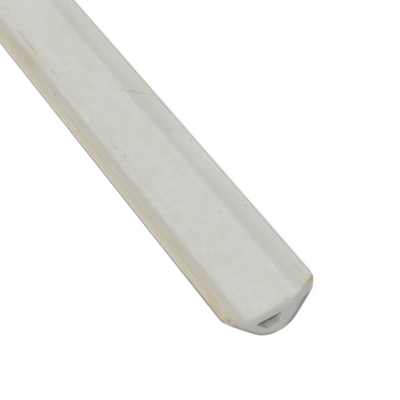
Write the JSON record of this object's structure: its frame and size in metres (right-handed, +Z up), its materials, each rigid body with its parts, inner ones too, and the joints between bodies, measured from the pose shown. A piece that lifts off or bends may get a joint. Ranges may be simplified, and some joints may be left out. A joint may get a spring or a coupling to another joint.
{
  "type": "L-shaped skirting trim",
  "caption": "Straight length of L-shaped skirting trim, with lipped legs at a right angle, a rounded back, a flat web across the inside and a hollow chamber along it.",
  "frame": {"origin": "halfway along the length, on the floor, midway between the tips of the legs", "axes": "+Y along the length, +Z up from the rounded back to the open side, X across from tip to tip, with the section rolled 6 degrees onto its right leg as it comes to rest"},
  "size_m": [0.0476, 1, 0.0234],
  "materials": {
    "white_plastic": "matt"
  },
  "bodies": {
    "root": {"skirting_profile": "white_plastic"}
  },
  "joints": []
}
